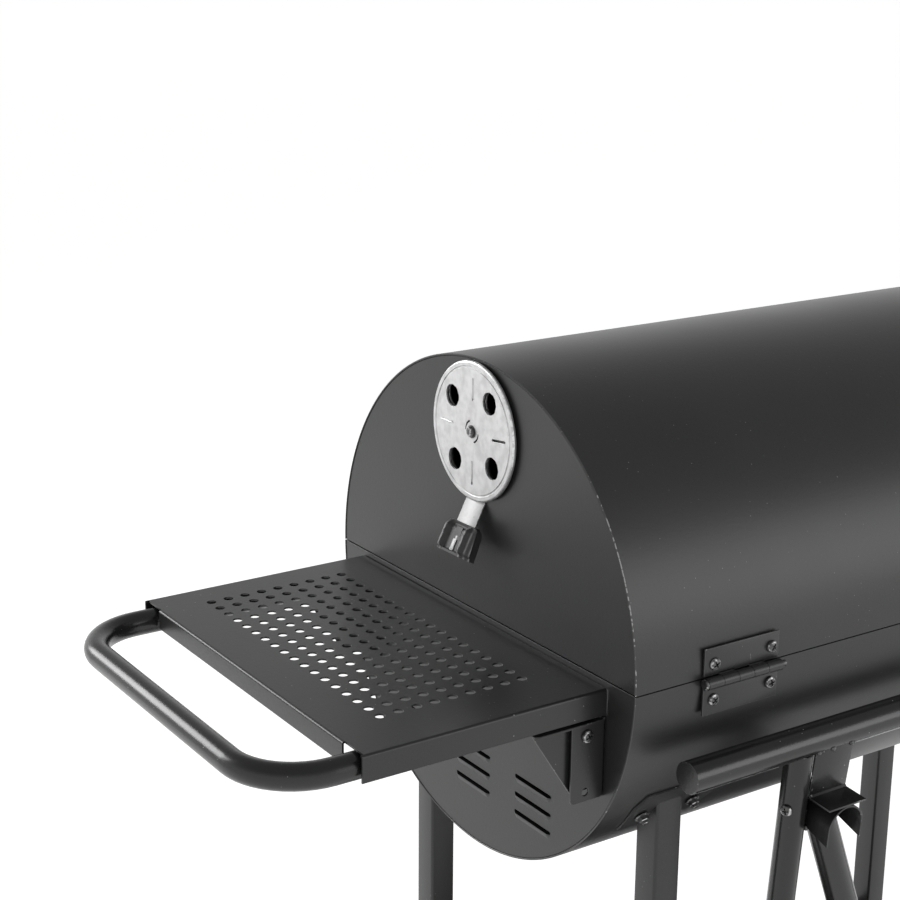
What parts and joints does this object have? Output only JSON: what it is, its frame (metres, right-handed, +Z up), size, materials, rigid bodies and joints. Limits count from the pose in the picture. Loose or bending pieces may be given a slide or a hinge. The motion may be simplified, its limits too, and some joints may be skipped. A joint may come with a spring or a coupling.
{
  "type": "offset smoker",
  "caption": "Horizontal barrel smoker on four square legs with a hinged lid, perforated side table with tube handle, side firebox, end damper and rear lid rest.",
  "frame": {"origin": "middle of the bounding box's footprint, on the ground", "axes": "+X towards the side table, +Y towards the hinges and the lid rest behind, +Z up"},
  "size_m": [1.3238, 0.4868, 0.995],
  "materials": {
    "black_paint": "satin black powder coat on sheet and tube steel, edges rubbed bright in places",
    "zinc_plate": "zinc plated sheet with a soft mottled sheen",
    "dark_zinc": "dull plated steel of pins, axle and pivot",
    "black_plastic": "moulded black plastic",
    "wheel_plastic": "blow-moulded black wheel with a ribbed tread",
    "grate_wire": "plated steel wire"
  },
  "bodies": {
    "stand": {"axle": "dark_zinc", "barrel_trough": "black_paint", "bottom_shelf": "black_paint", "charcoal_tray": "black_paint", "cooking_grate_firebox_side": "grate_wire", "cooking_grate_table_side": "grate_wire", "cross_rail": "black_paint", "firebox_end_barrel_side": "black_paint", "firebox_end_outer": "black_paint", "firebox_grate": "grate_wire", "firebox_hinge_lower_leaf": "black_paint", "firebox_trough": "black_paint", "foot_front": "black_plastic", "foot_rear": "black_plastic", "leg_front_firebox_side": "black_paint", "leg_front_table_side": "black_paint", "leg_plate_front_firebox_side": "black_paint", "leg_plate_front_table_side": "black_paint", "leg_plate_rear_firebox_side": "black_paint", "leg_plate_rear_table_side": "black_paint", "leg_rear_firebox_side": "black_paint", "leg_rear_table_side": "black_paint", "lid_hinge_firebox_side_lower_leaf": "black_paint", "lid_hinge_firebox_side_pin": "dark_zinc", "lid_hinge_table_side_lower_leaf": "black_paint", "lid_hinge_table_side_pin": "dark_zinc", "lower_rail_front": "black_paint", "lower_rail_rear": "black_paint", "rear_brace_firebox_side": "black_paint", "rear_brace_table_side": "black_paint", "rear_rail": "black_paint", "rear_strut_firebox_side": "black_paint", "rear_strut_table_side": "black_paint", "side_table": "black_paint", "table_bracket_front": "black_paint", "table_bracket_rear": "black_paint", "table_handle": "black_paint", "trough_end_firebox_side": "black_paint", "trough_end_table_side": "black_paint"},
    "lid": {"damper_cover": "zinc_plate", "damper_pivot": "dark_zinc", "lid_end_firebox_side": "black_paint", "lid_end_table_side": "black_paint", "lid_handle": "black_paint", "lid_hinge_firebox_side_upper_leaf": "black_paint", "lid_hinge_table_side_upper_leaf": "black_paint", "lid_shell": "black_paint", "thermometer_case": "zinc_plate"},
    "damper": {"damper_grip": "black_plastic", "damper_shutter": "zinc_plate"},
    "needle": {"thermometer_needle": "black_plastic"},
    "firebox_lid": {"firebox_hinge_upper_leaf": "black_paint", "firebox_lid_end_barrel_side": "black_paint", "firebox_lid_end_outer": "black_paint", "firebox_lid_handle": "black_paint", "firebox_lid_shell": "black_paint"},
    "firebox_damper": {"firebox_damper": "zinc_plate"},
    "ash_drawer": {"ash_drawer": "black_paint"},
    "wheel_front": {"wheel_front": "wheel_plastic"},
    "wheel_rear": {"wheel_rear": "wheel_plastic"}
  },
  "joints": [
    {"name": "lid_hinge", "type": "hinge", "parent": "stand", "child": "lid", "pos_m": [0.01795, 0.20687, 0.7853], "axis": [-1, 0, 0], "range_deg": [0, 165]},
    {"name": "damper_turn", "type": "hinge", "parent": "lid", "child": "damper", "pos_m": [0.37795, -0.00313, 0.937], "axis": [1, 0, 0], "range_deg": [0, 45]},
    {"name": "needle_turn", "type": "hinge", "parent": "lid", "child": "needle", "pos_m": [0.01795, -0.15306, 0.92981], "axis": [0, 0.7314, -0.682], "range_deg": [0, 210]},
    {"name": "firebox_lid_hinge", "type": "hinge", "parent": "stand", "child": "firebox_lid", "pos_m": [-0.49405, 0.15187, 0.6603], "axis": [-1, 0, 0], "range_deg": [0, 105]},
    {"name": "firebox_damper_turn", "type": "hinge", "parent": "stand", "child": "firebox_damper", "pos_m": [-0.64255, -0.00313, 0.615], "axis": [1, 0, 0], "range_deg": [0, 60]},
    {"name": "ash_drawer_slide", "type": "slide", "parent": "stand", "child": "ash_drawer", "axis": [-1, 0, 0], "range_m": [0, 0.22]},
    {"name": "wheel_front_spin", "type": "hinge", "parent": "stand", "child": "wheel_front", "pos_m": [-0.27455, -0.19613, 0.08], "axis": [0, 1, 0], "continuous": true},
    {"name": "wheel_rear_spin", "type": "hinge", "parent": "stand", "child": "wheel_rear", "pos_m": [-0.27455, 0.18987, 0.08], "axis": [0, 1, 0], "continuous": true}
  ]
}
